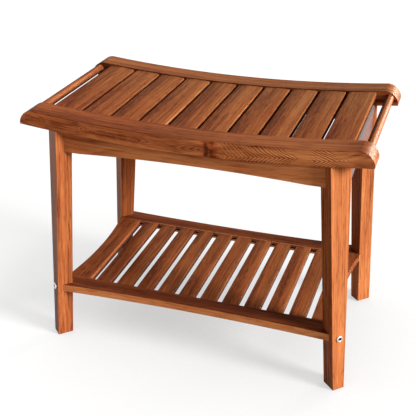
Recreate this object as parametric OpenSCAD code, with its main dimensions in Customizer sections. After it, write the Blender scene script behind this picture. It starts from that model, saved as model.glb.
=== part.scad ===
// Slatted shower bench in teak: bowed seat between two rolled-end rails, low slatted shelf, four
// tapered legs set at 45 degrees. Millimetres, +X along the bench, +Y to the back, +Z up.
// Origin: on the floor, under the middle of the bench.

/* [Overall] */
// Length over the rolled ends of the top rails
bench_l = 610; // [560:1:740]
// Width over the outer faces of the top rails
bench_w = 340; // [320:1:410]
// Height of the rail tops at mid-length
seat_h = 448; // [370:1:540]
// Rise of the rail tops from mid-length to the tips, before they roll over
bow = 17.5; // [12:0.5:22]

/* [Top rails] */
// Width of a top rail across its top
rail_w = 46; // [44:0.5:56]
// Thickness of a top rail
rail_h = 28.5; // [27:0.5:35]
// Radius of the rolled ends
roll_r = 26; // [22:0.5:28]

/* [Handle bars] */
// Diameter of a handle bar
bar_d = 15; // [12:0.5:17]
// Distance of a handle bar's axis from the rail tips
bar_inset = 16; // [15:0.5:20]
// Depth of a handle bar's axis under the highest line of the rolled end
bar_drop = 12.5; // [12:0.5:14]
// Depth of the blind hole that seats each end of a handle bar
bar_seat = 14; // [10:0.5:20]

/* [Seat slats] */
// Number of seat slats
seat_slats = 10; // [8:1:12]
// Distance from the rail tips to the outer edge of the end slats
seat_inset = 41.5; // [36:0.5:50]
// Gap between two seat slats
seat_gap = 6; // [4:0.5:9]
// How much wider each end slat is than the others
end_slat_extra = 2.5; // [0:0.5:6]
// Thickness of a seat slat
slat_t = 12; // [10:0.5:14]
// How far the slats lie under the rail tops
slat_drop = 2; // [1:0.5:5]
// Height of the crown across a slat
slat_crown = 0.8; // [0.3:0.1:1.5]
// Radius of the long top edges of a slat
slat_edge_r = 1.5; // [1:0.5:3]

/* [Aprons] */
// Thickness of the front and back aprons
apron_t = 15; // [13:0.5:18]
// Distance from a rail's outer face to the face of the apron under it
apron_setback = 10; // [8:0.5:14]
// Thickness of the end aprons
end_apron_t = 16; // [13:0.5:18]
// Distance from the rail tips to the outer face of an end apron
end_apron_setback = 41.5; // [40:0.5:46]
// Depth of the aprons under the rail tops at mid-length
apron_drop = 58.5; // [54:0.5:72]
// Rise of the arched bottom edge of an apron
arch_rise = 5.5; // [3:0.5:8]
// Length of the flat at each end of the front and back aprons, from the bench's tips
arch_margin = 105; // [95:1:120]
// Distance from a rail's outer face to the start of an end apron's arch
end_arch_margin = 62; // [58:1:75]

/* [Seat ledgers] */
// Width of the strip that carries the slat ends
ledger_w = 14; // [12:0.5:18]
// Height of that strip
ledger_h = 10; // [8:0.5:11]

/* [Legs] */
// Thickness of a leg, from its outer to its inner broad face
leg_t = 29; // [26:0.1:35]
// Width of a leg's broad face at the floor
leg_w_foot = 23.5; // [20:0.5:28]
// Width of a leg's broad face at seat height
leg_w_top = 41; // [38:0.5:44]
// Distance from the bench's tips to the middle of a foot
foot_inset_x = 36.7; // [34:0.1:50]
// Distance from the rails' outer faces to the middle of a foot
foot_inset_y = 19.2; // [18:0.1:26]
// Distance from the bench's tips to the middle of a leg at seat height
head_inset_x = 64.7; // [62:0.1:68]
// Distance from the rails' outer faces to the middle of a leg at seat height
head_inset_y = 24.8; // [24:0.1:27]

/* [Corner blocks] */
// Width of a corner block's blunt tips
block_tip = 6; // [4:0.5:8]
// Height of a corner block
block_h = 32; // [30:1:34]
// Distance of a corner block above the bottom of the aprons
block_lift = 2; // [1:0.5:3]
// Wood of the corner block that the leg bolts clamp
block_grip = 17; // [14:0.5:20]
// Wood of the corner block beyond the seats of the leg bolts
block_cheek = 2.5; // [1:0.5:5]

/* [Shelf] */
// Height of the shelf's top
shelf_h = 114; // [90:1:150]
// Thickness of the shelf's frame
shelf_t = 14; // [12:0.5:18]
// Distance from mid-width to the inner edge of a shelf rail
shelf_rail_y = 125; // [110:0.5:128]
// Width of a shelf rail at mid-length
shelf_rail_w = 30; // [27:0.5:36]
// Hollow of a shelf rail's outer edge
shelf_hollow = 8.2; // [3:0.1:10]
// Distance from the bench's tips to the inner edge of a shelf end board
shelf_end_inset = 89.3; // [84:0.1:100]
// Hollow of a shelf end board's outer edge
shelf_end_hollow = 11; // [4:0.5:13]
// Number of shelf slats
shelf_slats = 10; // [8:1:12]
// Gap between two shelf slats
shelf_gap = 11.1; // [9:0.1:15]
// Thickness of a shelf slat
shelf_slat_t = 8; // [6:0.5:9]
// How far the shelf slats lie under the frame's top
shelf_slat_drop = 1.5; // [1:0.5:3]
// Height of the crown across a shelf slat
shelf_slat_crown = 0.5; // [0.2:0.1:1]
// Radius of the long top edges of a shelf slat
shelf_slat_edge_r = 1.5; // [0.5:0.5:2]
// Depth of the groove that holds the shelf slats' ends
groove = 6; // [4:0.5:8]
// Width of the tongue at each end of a shelf end board
end_tongue_w = 17; // [12:1:20]

/* [Fasteners] */
// Shank diameter of the bolts
bolt_d = 6; // [5:0.5:8]
// Head diameter of the bolts through the legs at the shelf
shelf_bolt_head_d = 12; // [10:0.5:14]
// Head height of those bolts
shelf_bolt_head_h = 3.5; // [2.5:0.5:5]
// Hex socket of those bolts, across the corners
shelf_bolt_hex = 5.8; // [4:0.2:7]
// Head diameter of the bolts through the corner blocks
leg_bolt_head_d = 10; // [9:0.5:13]
// Head height of those bolts
leg_bolt_head_h = 4; // [3:0.5:6]
// Hex socket of those bolts, across the corners
leg_bolt_hex = 5.8; // [4:0.2:6]
// Length of those bolts under the head
leg_bolt_l = 35; // [30:1:40]
// Room left in the leg past the tips of those bolts
leg_bolt_spare = 3; // [1:0.5:5]
// Distance between the two bolts of a corner block
leg_bolt_pitch = 16; // [15:1:18]
// Washer diameter under those bolts
washer_d = 12.5; // [11:0.5:14]
// Washer thickness
washer_t = 1.2; // [0.8:0.2:2]
// Outer diameter of the threaded inserts in the legs
leg_insert_d = 9; // [8:0.5:12]
// Length of the threaded inserts in the legs
leg_insert_l = 15; // [10:1:18]
// How far the bolts at the shelf lie under the middle of its frame
shelf_bolt_drop = 0.8; // [0:0.2:1.4]
// Outer diameter of the threaded inserts in the shelf's corners
shelf_insert_d = 8; // [7.4:0.2:8.4]
// Length of the threaded inserts in the shelf's corners
shelf_insert_l = 12; // [8:1:13]
// Shank diameter of the wood screws
screw_d = 3.5; // [3:0.5:4]
// Head diameter of the wood screws
screw_head_d = 7; // [6:0.5:8]
// Depth that the heads of the ledgers' screws are sunk under the wood
screw_sink = 0.4; // [0.2:0.1:1]
// Length of the screws from the ledgers into the seat slats
slat_screw_l = 17; // [14:0.5:18]
// Length of the screws from the ledgers into the rails
ledger_screw_l = 30; // [24:1:38]
// Length of the screws from the corner blocks into the aprons
block_screw_l = 18; // [14:1:20]
// Distance of those screws from the blunt tips of the corner blocks
block_screw_inset = 8; // [6:0.5:9]
// Wood of the corner block that those screws clamp
block_screw_grip = 8; // [6:0.5:9]
// Diameter of the dowels between aprons and rails
dowel_d = 8; // [6:1:9]
// Length of those dowels
dowel_l = 26; // [18:1:30]
// Distance of the outer dowels from mid-length
dowel_x = 150; // [100:5:180]

/* [Clearances] */
// Gap left where one wooden piece slips into or against another
fit = 0.2; // [0.1:0.05:0.3]
// Play round a bolt or screw in a hole that it passes through
play = 0.25; // [0.1:0.05:0.5]

/* [Hidden] */
$fn = 96;
arc_fn = 720;
half_l = bench_l / 2;
half_w = bench_w / 2;
over = 1;
far = 2 * (bench_l + seat_h);
// Angle at which a rounded edge meets the faces beside it
crease = 8;

// Circle of the bow, and the circles that roll the rail ends over, tangent to it
bow_r = (half_l * half_l + bow * bow) / (2 * bow);
bow_cz = seat_h + bow_r;
roll_x = half_l - roll_r;
roll_z = bow_cz - sqrt(pow(bow_r + roll_r, 2) - roll_x * roll_x);
roll_join_x = roll_x * bow_r / (bow_r + roll_r);
rail_in_y = half_w - rail_w;
bar_x = half_l - bar_inset;
bar_z = roll_z + roll_r - bar_drop;

// Seat slats stand on the bow's circle, so their places are angles round its centre
slat_pitch = (bench_l - 2 * seat_inset - 2 * end_slat_extra + seat_gap) / seat_slats;
slat_w = slat_pitch - seat_gap;
slat_len = 2 * (rail_in_y - fit);
ledger_r = sqrt(pow(bow_r + slat_drop + slat_t, 2) + pow(slat_w / 2 + end_slat_extra, 2)) + fit / 4;
ledger_mid_y = rail_in_y - ledger_w / 2;
ledger_screw_slots = [-4, -1, 1, 4];

// Aprons
apron_z = seat_h - apron_drop;
apron_out_y = half_w - apron_setback;
apron_in_y = apron_out_y - apron_t;
end_out_x = half_l - end_apron_setback;
end_in_x = end_out_x - end_apron_t;
dowel_places = [-dowel_x, 0, dowel_x];

// Legs: a tapered board that leans in and steps sideways with height, turned 45 degrees. It is
// drawn from a little under the floor, where its foot is then cut level.
foot_spare = 6;
foot_x = half_l - foot_inset_x;
foot_y = half_w - foot_inset_y;
head_x = half_l - head_inset_x;
head_y = half_w - head_inset_y;
lean_run = (foot_x - head_x + foot_y - head_y) / sqrt(2);
side_run = (foot_x - head_x - foot_y + head_y) / sqrt(2);
lean = atan(lean_run / seat_h);
leg_len = seat_h / cos(lean);
sides = [-1, 1];

// Part of a bolt head's height that its socket takes
socket_share = 0.7;

// Corner blocks
block_z = apron_z + block_lift;
leg_bolt_mid = block_z + block_h / 2;
bolt_rise = leg_bolt_mid / seat_h;
bolt_leg_x = foot_x - (foot_x - head_x) * bolt_rise;
bolt_leg_y = foot_y - (foot_y - head_y) * bolt_rise;
block_depth = leg_t / (2 * cos(lean)) + block_grip + block_cheek;
block_reach = end_in_x - bolt_leg_x + apron_in_y - bolt_leg_y + sqrt(2) * block_depth - block_tip;
leg_hole_l = leg_bolt_l - block_grip + leg_bolt_spare;
block_screw_at = block_reach - block_screw_inset;

// Shelf
shelf_mid_z = shelf_h - shelf_t / 2;
shelf_bolt_z = shelf_mid_z - shelf_bolt_drop;
shelf_half = foot_x - (foot_x - head_x) * shelf_mid_z / seat_h;
shelf_rail_out = shelf_rail_y + shelf_rail_w;
shelf_hollow_r = (shelf_half * shelf_half + shelf_hollow * shelf_hollow) / (2 * shelf_hollow);
shelf_end_r = (shelf_rail_y * shelf_rail_y + shelf_end_hollow * shelf_end_hollow) / (2 * shelf_end_hollow);
shelf_end_x = half_l - shelf_end_inset;
end_spare = 3;
shelf_slat_w = (2 * shelf_end_x - (shelf_slats + 1) * shelf_gap) / shelf_slats;
shelf_pitch = shelf_slat_w + shelf_gap;
shelf_slat_z = shelf_h - shelf_slat_drop;
tongue_shoulder = 3;
groove_half = shelf_end_x + tongue_shoulder + end_tongue_w + fit;

function two(i) = str(i < 10 ? "0" : "", i);
function under_z(x) = bow_cz - rail_h - sqrt(bow_r * bow_r - x * x);
function slat_angle(i) = asin((i - (seat_slats + 1) / 2) * slat_pitch / bow_r);
function is_end_slat(i) = i == 1 || i == seat_slats;

CORNERS = [["front_left", -1, -1], ["front_right", 1, -1], ["back_left", -1, 1], ["back_right", 1, 1]];

// ---- Helpers ----

// Draws an outline of the XZ plane as a solid from y0 to y1
module along_y(y0, y1) {
    translate([0, y1, 0])
        rotate([90, 0, 0])
            linear_extrude(y1 - y0)
                children();
}

// Draws an outline of the YZ plane as a solid from x0 to x1
module along_x(x0, x1) {
    translate([x0, 0, 0])
        rotate([90, 0, 90])
            linear_extrude(x1 - x0)
                children();
}

// The whole of the space over an arc of the bow's circle, lowered by drop
module over_bow(drop) {
    translate([0, bow_cz - drop])
        circle(r = bow_r, $fn = arc_fn);
}

// Section of a slat: flat bottom, crowned top and rounded top edges, its highest line at z = 0
module slat_section(w, t, crown, edge_r) {
    crown_r = (w * w / 4 + crown * crown) / (2 * crown);
    edge_x = w / 2 - edge_r * cos(crease);
    edge_z = sqrt(crown_r * crown_r - edge_x * edge_x) - crown_r - edge_r * cos(crease);
    intersection() {
        translate([0, -crown_r])
            circle(r = crown_r, $fn = arc_fn);
        translate([-w / 2, -t])
            square([w, t + over]);
        union() {
            for (s = sides)
                translate([s * edge_x, edge_z])
                    circle(r = edge_r);
            translate([-edge_x, -t - over])
                square([2 * edge_x, t + 2 * over]);
            translate([-w, -t - over])
                square([2 * w, t + over + edge_z]);
        }
    }
}

// Countersunk screw, its head's top at z = 0 and its tip at z = l. With hole it is the hole for
// one instead: that much more radius round the shank, and a mouth that stands out past the head.
module screw(l, hole = 0) {
    head_h = (screw_head_d - screw_d) / 2;
    if (hole > 0)
        translate([0, 0, -over])
            cylinder(r = screw_head_d / 2 + hole, h = over);
    cylinder(d1 = screw_head_d, d2 = screw_d, h = head_h);
    cylinder(r = screw_d / 2 + hole, h = l);
}

// Places something on a slat's own circle line, with z = 0 at the radius r and +Z towards the seat
module on_bow(angle, r, y) {
    translate([0, y, bow_cz])
        rotate([0, -angle, 0])
            translate([0, 0, -r])
                children();
}

// Places something in a corner's mirrored quadrant; it is drawn for the back right corner
module corner(sx, sy) {
    mirror([sx < 0 ? 1 : 0, 0, 0])
        mirror([0, sy < 0 ? 1 : 0, 0])
            children();
}

// A leg's own frame: +X out of its outer broad face, +Z up along the board from the floor
module leg_frame(sx, sy) {
    corner(sx, sy)
        translate([foot_x, foot_y, 0])
            rotate([0, 0, 45])
                rotate([0, -lean, 0])
                    children();
}

// The middle of the leg's board at height z, in the leg's frame
module leg_at(sx, sy, z) {
    leg_frame(sx, sy)
        translate([0, side_run * z / seat_h, z / cos(lean)])
            children();
}

// The leg's board before its ends are cut, grown by grow on its four long faces
module leg_board(sx, sy, grow = 0) {
    bottom = -foot_spare / leg_len;
    taper = leg_w_top - leg_w_foot;
    low = [side_run * bottom, (leg_w_foot + taper * bottom) / 2 + grow];
    high = [side_run, leg_w_top / 2 + grow];
    leg_frame(sx, sy)
        along_x(-leg_t / 2 - grow, leg_t / 2 + grow)
            polygon([
                [low[0] - low[1], -foot_spare],
                [low[0] + low[1], -foot_spare],
                [high[0] + high[1], leg_len],
                [high[0] - high[1], leg_len]
            ]);
}

module all_legs(grow) {
    for (sx = sides)
        for (sy = sides)
            leg_board(sx, sy, grow);
}

// ---- Top rails and handle bars ----

module rail_outline() {
    intersection() {
        difference() {
            over_bow(rail_h);
            over_bow(0);
        }
        translate([-half_l, 0])
            square([bench_l, far]);
        union() {
            translate([-roll_join_x, 0])
                square([2 * roll_join_x, far]);
            for (s = sides)
                translate([s * (half_l - roll_r * cos(crease)), roll_z + roll_r * (1 - cos(crease))])
                    circle(r = roll_r);
            translate([-half_l - over, 0])
                square([bench_l + 2 * over, roll_z]);
        }
    }
}

module handle_bar_shape(s, end_gap) {
    translate([s * bar_x, 0, bar_z])
        rotate([90, 0, 0])
            cylinder(d = bar_d, h = 2 * (rail_in_y + bar_seat - end_gap), center = true);
}

module dowel_set(side, end_gap) {
    for (x = dowel_places)
        translate([x, side * (apron_out_y + apron_in_y) / 2, under_z(x)])
            cylinder(d = dowel_d, h = dowel_l + 2 * end_gap, center = true);
}

module ledger_screw_set(side, hole = 0) {
    mid_r = ledger_r + ledger_h / 2;
    for (k = ledger_screw_slots)
        on_bow(asin(k * slat_pitch / bow_r), mid_r, side * (rail_in_y - ledger_w + screw_sink))
            rotate([-90 * side, 0, 0])
                screw(ledger_screw_l, hole);
}

module top_rail(side) {
    y0 = side > 0 ? rail_in_y : -half_w;
    color("#a3562a")
        difference() {
            along_y(y0, y0 + rail_w)
                rail_outline();
            for (s = sides)
                handle_bar_shape(s, 0);
            dowel_set(side, fit);
            ledger_screw_set(side);
        }
}

module handle_bar(s) {
    color("#d98d5c")
        handle_bar_shape(s, fit);
}

// ---- Seat slats and the ledgers under them ----

module slat_screw_pair(i, hole = 0) {
    for (side = sides)
        on_bow(slat_angle(i), ledger_r + ledger_h - screw_sink, side * ledger_mid_y)
            screw(slat_screw_l, hole);
}

module seat_slat(i) {
    extra = is_end_slat(i) ? end_slat_extra : 0;
    outward = i == 1 ? -1 : 1;
    color("#97502b")
        difference() {
            on_bow(slat_angle(i), bow_r + slat_drop, 0)
                translate([outward * extra / 2, 0, 0])
                    along_y(-slat_len / 2, slat_len / 2)
                        slat_section(slat_w + extra, slat_t, slat_crown, slat_edge_r);
            slat_screw_pair(i);
        }
}

module ledger_outline() {
    translate([0, bow_cz])
        difference() {
            circle(r = ledger_r + ledger_h, $fn = arc_fn);
            circle(r = ledger_r, $fn = arc_fn);
        }
}

module seat_ledger(side) {
    y0 = side > 0 ? rail_in_y - ledger_w : -rail_in_y;
    reach = end_in_x - fit;
    color("#7d4223")
        difference() {
            along_y(y0, y0 + ledger_w)
                intersection() {
                    ledger_outline();
                    translate([-reach, 0])
                        square([2 * reach, seat_h + bow]);
                }
            for (i = [1:seat_slats])
                slat_screw_pair(i, play);
            ledger_screw_set(side, play);
        }
}

// ---- Aprons ----

module arch(half_span) {
    arch_r = (half_span * half_span + arch_rise * arch_rise) / (2 * arch_rise);
    translate([0, apron_z + arch_rise - arch_r])
        circle(r = arch_r, $fn = arc_fn);
}

module block_screw_at_apron(hole = 0) {
    translate([end_in_x - block_screw_at, apron_in_y - block_screw_grip, leg_bolt_mid])
        rotate([-90, 0, 0])
            screw(block_screw_l, hole);
    translate([end_in_x - block_screw_grip, apron_in_y - block_screw_at, leg_bolt_mid])
        rotate([0, 90, 0])
            screw(block_screw_l, hole);
}

module long_apron(side) {
    y0 = side > 0 ? apron_in_y : -apron_out_y;
    color("#9a5029")
        difference() {
            along_y(y0, y0 + apron_t)
                difference() {
                    translate([-head_x, apron_z])
                        square([2 * head_x, apron_drop + bow]);
                    arch(half_l - arch_margin);
                    over_bow(rail_h + fit);
                }
            all_legs(fit);
            dowel_set(side, fit);
            for (sx = sides)
                corner(sx, side)
                    block_screw_at_apron();
        }
}

module end_apron(side) {
    x0 = side > 0 ? end_in_x : -end_out_x;
    half = head_y - (leg_w_top - leg_t) / (2 * sqrt(2));
    color("#c98a63")
        difference() {
            along_x(x0, x0 + end_apron_t)
                difference() {
                    translate([-half, apron_z])
                        square([2 * half, apron_drop + bow]);
                    arch(half_w - end_arch_margin);
                }
            along_y(-rail_in_y, rail_in_y)
                translate([0, bow_cz])
                    circle(r = ledger_r, $fn = arc_fn);
            for (sy = sides)
                along_y(sy > 0 ? rail_in_y : -half_w, sy > 0 ? half_w : -rail_in_y)
                    over_bow(rail_h + fit);
            all_legs(fit);
            for (sy = sides)
                corner(side, sy)
                    block_screw_at_apron();
        }
}

// ---- Legs ----

module leg_bolt_places(sx, sy) {
    for (k = sides)
        leg_at(sx, sy, leg_bolt_mid + k * leg_bolt_pitch / 2)
            children();
}

module leg(sx, sy) {
    color("#d27a42")
        difference() {
            leg_board(sx, sy);
            translate([-far / 2, -far / 2, -far])
                cube(far);
            along_y(-half_w - leg_t, half_w + leg_t)
                over_bow(rail_h);
            leg_bolt_places(sx, sy)
                rotate([0, 90, 0]) {
                    translate([0, 0, -leg_t / 2 - over])
                        cylinder(d = leg_insert_d, h = leg_insert_l + over);
                    translate([0, 0, -leg_t / 2 - over])
                        cylinder(r = bolt_d / 2 + play, h = leg_hole_l + over);
                }
            leg_at(sx, sy, shelf_bolt_z)
                rotate([0, 90, 0])
                    cylinder(r = bolt_d / 2 + play, h = leg_t + 2 * over, center = true);
        }
}

module corner_block(sx, sy) {
    color("#7d4223")
        difference() {
            corner(sx, sy)
                translate([end_in_x, apron_in_y, block_z])
                    rotate([0, 0, 180])
                        linear_extrude(block_h)
                            polygon([
                                [0, 0],
                                [block_reach, 0],
                                [block_reach, block_tip],
                                [block_tip, block_reach],
                                [0, block_reach]
                            ]);
            leg_board(sx, sy, fit);
            along_y(-half_w, half_w)
                over_bow(rail_h + fit);
            leg_bolt_places(sx, sy)
                rotate([0, 90, 0]) {
                    translate([0, 0, -leg_t / 2 - block_grip - block_reach])
                        cylinder(d = washer_d + 2 * play, h = block_reach);
                    translate([0, 0, -leg_t / 2 - block_grip - over])
                        cylinder(r = bolt_d / 2 + play, h = block_grip + 2 * over);
                }
            corner(sx, sy) {
                block_screw_at_apron(play);
                translate([end_in_x - block_screw_at, apron_in_y - block_screw_grip, leg_bolt_mid])
                    rotate([90, 0, 0])
                        cylinder(d = screw_head_d + 2 * play, h = block_reach);
                translate([end_in_x - block_screw_grip, apron_in_y - block_screw_at, leg_bolt_mid])
                    rotate([0, -90, 0])
                        cylinder(d = screw_head_d + 2 * play, h = block_reach);
            }
        }
}

// ---- Shelf ----

module shelf_insert_hole(sx, sy) {
    leg_at(sx, sy, shelf_bolt_z)
        rotate([0, -90, 0])
            translate([0, 0, leg_t / 2])
                cylinder(d = shelf_insert_d, h = fit + shelf_insert_l);
}

// The hollow of the shelf's ends
module shelf_end_curve(side) {
    translate([side * (shelf_half - shelf_end_hollow + shelf_end_r), 0])
        circle(r = shelf_end_r, $fn = arc_fn);
}

module shelf_rail(side) {
    color("#7a3d20")
        difference() {
            corner(1, side)
                translate([0, 0, shelf_h - shelf_t])
                    linear_extrude(shelf_t)
                        difference() {
                            translate([-shelf_half - end_spare, shelf_rail_y])
                                square([2 * (shelf_half + end_spare), shelf_rail_w + shelf_hollow]);
                            translate([0, shelf_rail_out + shelf_hollow_r])
                                circle(r = shelf_hollow_r, $fn = arc_fn);
                            for (s = sides)
                                shelf_end_curve(s);
                        }
            all_legs(fit);
            corner(1, side)
                translate([-groove_half, shelf_rail_y - over, shelf_slat_z - shelf_slat_t - fit])
                    cube([2 * groove_half, groove + over, shelf_slat_t + 2 * fit]);
            for (sx = sides)
                shelf_insert_hole(sx, side);
        }
}

module shelf_end(side) {
    tongue_x = shelf_end_x + tongue_shoulder;
    color("#7a3d20")
        corner(side, 1)
            union() {
                translate([0, 0, shelf_h - shelf_t])
                    linear_extrude(shelf_t)
                        difference() {
                            translate([shelf_end_x, -shelf_rail_y])
                                square([shelf_half + end_spare - shelf_end_x, 2 * shelf_rail_y]);
                            shelf_end_curve(1);
                        }
                translate([tongue_x, -shelf_rail_y - groove + fit, shelf_slat_z - shelf_slat_t])
                    cube([end_tongue_w, 2 * (shelf_rail_y + groove - fit), shelf_slat_t]);
            }
}

module shelf_slat(i) {
    half = shelf_rail_y + groove - fit;
    color("#874623")
        translate([(i - (shelf_slats + 1) / 2) * shelf_pitch, 0, shelf_slat_z])
            along_y(-half, half)
                slat_section(shelf_slat_w, shelf_slat_t, shelf_slat_crown, shelf_slat_edge_r);
}

// ---- Fasteners ----

module each_corner() {
    for (sx = sides)
        for (sy = sides)
            let ($sx = sx, $sy = sy)
                children();
}

// Bolt with a hex socket: the head's seat at z = 0, the head towards -Z, the tip at z = l
module socket_bolt(head_d, head_h, hex, l) {
    difference() {
        union() {
            translate([0, 0, -head_h])
                cylinder(d = head_d, h = head_h);
            cylinder(d = bolt_d, h = l);
        }
        translate([0, 0, -head_h - over])
            cylinder(d = hex, h = head_h * socket_share + over, $fn = 6);
    }
}

module shelf_bolts() {
    color("silver")
        each_corner()
            leg_at($sx, $sy, shelf_bolt_z)
                rotate([0, -90, 0])
                    translate([0, 0, -leg_t / 2])
                        socket_bolt(shelf_bolt_head_d, shelf_bolt_head_h, shelf_bolt_hex,
                            leg_t + fit + shelf_insert_l);
}

module insert_tube(d, l) {
    difference() {
        cylinder(d = d, h = l);
        translate([0, 0, -over])
            cylinder(d = bolt_d, h = l + 2 * over);
    }
}

module shelf_inserts() {
    color("goldenrod")
        each_corner()
            leg_at($sx, $sy, shelf_bolt_z)
                rotate([0, -90, 0])
                    translate([0, 0, leg_t / 2 + fit])
                        insert_tube(shelf_insert_d, shelf_insert_l);
}

module leg_bolts() {
    color("silver")
        each_corner()
            leg_bolt_places($sx, $sy)
                rotate([0, 90, 0])
                    translate([0, 0, -leg_t / 2 - block_grip - washer_t])
                        socket_bolt(leg_bolt_head_d, leg_bolt_head_h, leg_bolt_hex, leg_bolt_l);
}

module leg_bolt_washers() {
    color("silver")
        each_corner()
            leg_bolt_places($sx, $sy)
                rotate([0, 90, 0])
                    translate([0, 0, -leg_t / 2 - block_grip - washer_t])
                        difference() {
                            cylinder(d = washer_d, h = washer_t);
                            translate([0, 0, -over])
                                cylinder(r = bolt_d / 2 + play, h = washer_t + 2 * over);
                        }
}

module leg_inserts() {
    color("goldenrod")
        each_corner()
            leg_bolt_places($sx, $sy)
                rotate([0, 90, 0])
                    translate([0, 0, -leg_t / 2])
                        insert_tube(leg_insert_d, leg_insert_l);
}

module slat_screws() {
    color("silver")
        for (i = [1:seat_slats])
            slat_screw_pair(i);
}

module ledger_screws() {
    color("silver")
        for (side = sides)
            ledger_screw_set(side);
}

module block_screws() {
    color("silver")
        each_corner()
            corner($sx, $sy)
                block_screw_at_apron();
}

module rail_dowels() {
    color("burlywood")
        for (side = sides)
            dowel_set(side, 0);
}

// ---- The pieces ----

top_rail(-1);  // top_rail_front
top_rail(1);  // top_rail_back
handle_bar(-1);  // handle_bar_left
handle_bar(1);  // handle_bar_right
for (i = [1:seat_slats])
    seat_slat(i);
seat_ledger(-1);  // seat_ledger_front
seat_ledger(1);  // seat_ledger_back
long_apron(-1);  // apron_front
long_apron(1);  // apron_back
end_apron(-1);  // apron_left
end_apron(1);  // apron_right
for (c = CORNERS)
    leg(c[1], c[2]);
for (c = CORNERS)
    corner_block(c[1], c[2]);
shelf_rail(-1);  // shelf_rail_front
shelf_rail(1);  // shelf_rail_back
shelf_end(-1);  // shelf_end_left
shelf_end(1);  // shelf_end_right
for (i = [1:shelf_slats])
    shelf_slat(i);
shelf_bolts();
shelf_inserts();
leg_bolts();
leg_bolt_washers();
leg_inserts();
slat_screws();
ledger_screws();
block_screws();
rail_dowels();
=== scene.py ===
"""Looks of the slatted wooden bench: materials, rounded edges, bolt heads, light and camera.

All lengths are in metres, in the frame of the CAD: X along the bench, Y to the back, Z up.
"""

import math

import bmesh
import bpy
from mathutils import Matrix, Vector


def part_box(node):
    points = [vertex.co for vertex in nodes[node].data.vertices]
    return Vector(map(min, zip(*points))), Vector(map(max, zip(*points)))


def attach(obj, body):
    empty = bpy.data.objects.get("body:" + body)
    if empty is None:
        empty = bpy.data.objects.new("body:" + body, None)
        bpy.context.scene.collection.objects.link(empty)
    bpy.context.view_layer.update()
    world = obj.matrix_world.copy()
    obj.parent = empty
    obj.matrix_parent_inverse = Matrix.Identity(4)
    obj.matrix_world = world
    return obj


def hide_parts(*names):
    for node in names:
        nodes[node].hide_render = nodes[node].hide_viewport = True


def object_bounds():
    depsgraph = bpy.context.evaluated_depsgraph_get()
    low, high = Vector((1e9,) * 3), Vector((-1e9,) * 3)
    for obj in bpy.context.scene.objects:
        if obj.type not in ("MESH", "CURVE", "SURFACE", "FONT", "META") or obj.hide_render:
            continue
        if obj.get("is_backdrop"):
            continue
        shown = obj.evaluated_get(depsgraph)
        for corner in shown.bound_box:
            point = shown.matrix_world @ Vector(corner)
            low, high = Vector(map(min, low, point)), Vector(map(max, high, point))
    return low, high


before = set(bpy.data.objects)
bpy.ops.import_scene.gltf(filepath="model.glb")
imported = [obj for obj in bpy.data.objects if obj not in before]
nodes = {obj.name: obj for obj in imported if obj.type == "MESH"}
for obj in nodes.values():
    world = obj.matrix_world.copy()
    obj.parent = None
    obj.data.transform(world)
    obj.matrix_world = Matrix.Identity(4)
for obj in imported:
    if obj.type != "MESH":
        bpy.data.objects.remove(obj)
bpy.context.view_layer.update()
scene = bpy.context.scene

# ---- Camera ----
# Solved from the corners of the legs, the rails and the shelf in the photograph.

AIM = Vector((-0.01888, 0.0, 0.23628))
AZIMUTH, ELEVATION, DISTANCE = math.radians(18.25), math.radians(27.02), 1.58223
SENSOR_MM, FOCAL_PIXELS, PICTURE_PIXELS = 36.0, 825.5, 416.0
CLIP_NEAR, CLIP_FAR = 0.05, 60.0

to_camera = Vector(
    (
        math.sin(AZIMUTH) * math.cos(ELEVATION),
        -math.cos(AZIMUTH) * math.cos(ELEVATION),
        math.sin(ELEVATION),
    )
)
cam_data = bpy.data.cameras.new("camera")
cam_data.sensor_width = SENSOR_MM
cam_data.lens = SENSOR_MM * FOCAL_PIXELS / PICTURE_PIXELS
cam_data.clip_start, cam_data.clip_end = CLIP_NEAR, CLIP_FAR
cam = bpy.data.objects.new("camera", cam_data)
scene.collection.objects.link(cam)
cam.location = AIM + to_camera * DISTANCE
cam.rotation_mode = "QUATERNION"
cam.rotation_quaternion = (-to_camera).to_track_quat("-Z", "Y")
scene.camera = cam

scene.view_settings.view_transform = "Standard"

# ---- Helpers for node trees ----

MIDDLE = 0.5  # of all that goes from 0 to 1, such as a noise


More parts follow.
